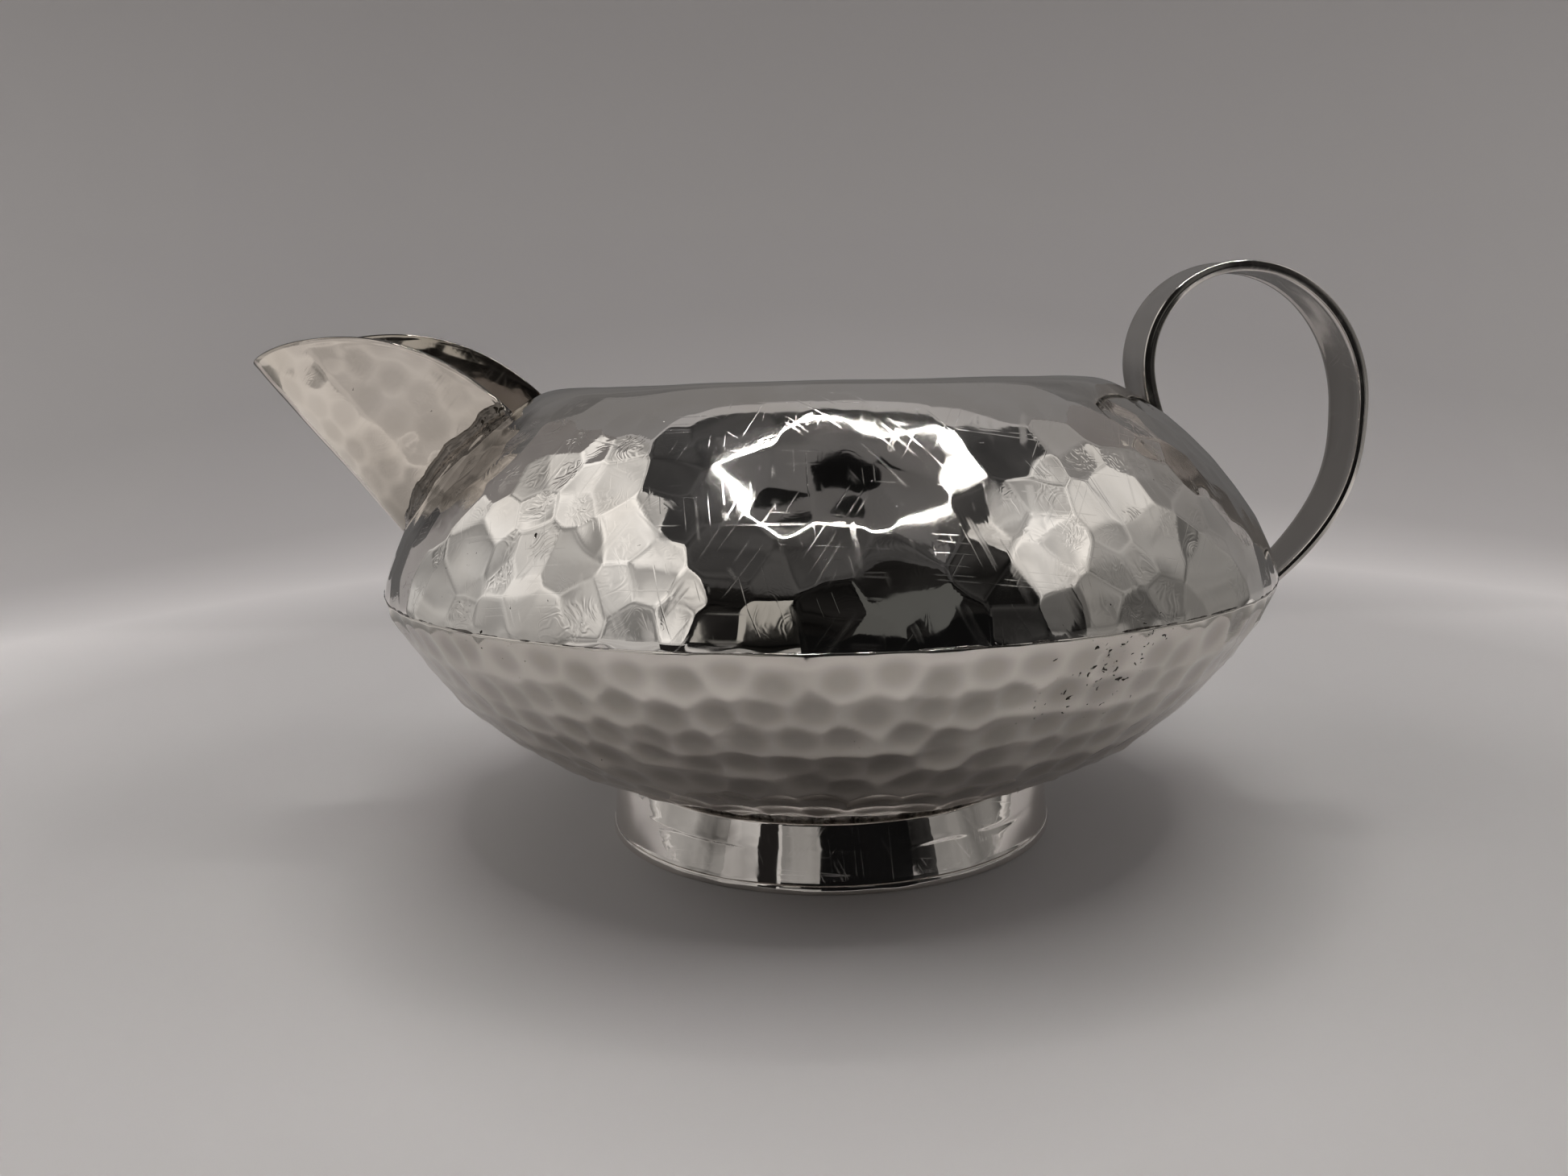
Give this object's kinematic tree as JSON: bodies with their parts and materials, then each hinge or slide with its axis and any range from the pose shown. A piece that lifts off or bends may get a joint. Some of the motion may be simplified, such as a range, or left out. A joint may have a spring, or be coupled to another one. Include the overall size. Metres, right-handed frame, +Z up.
{
  "type": "cream jug",
  "caption": "Squat hammered silver cream jug with a sharp waist crease, open beak spout, flat strap loop handle and low collet foot.",
  "frame": {"origin": "on the resting plane, halfway between the tip of the spout and the outside of the handle, in the jug's plane of symmetry; the axis of the round body is 2.8 mm along +X from it", "axes": "+Z up, +X towards the handle, -X towards the spout, Y across the jug"},
  "size_m": [0.1276, 0.1, 0.0641],
  "materials": {
    "hammered_silver": "planished silver sheet: shallow round and honeycomb hammer facets, polished, with fine scratches and small dark pits",
    "plain_silver": "smooth polished silver with fine handling scratches and a slightly worn, softened edge",
    "silver_solder": "filed silver solder, slightly duller and greyer than the sheet"
  },
  "bodies": {
    "root": {"body_bowl": "hammered_silver", "body_shoulder": "hammered_silver", "waist_seam": "silver_solder", "spout": "hammered_silver", "spout_solder": "silver_solder", "handle_strap": "plain_silver", "handle_solder_upper": "silver_solder", "handle_solder_lower": "silver_solder", "foot_ring": "plain_silver", "foot_wire": "plain_silver", "foot_solder": "silver_solder"}
  },
  "joints": []
}
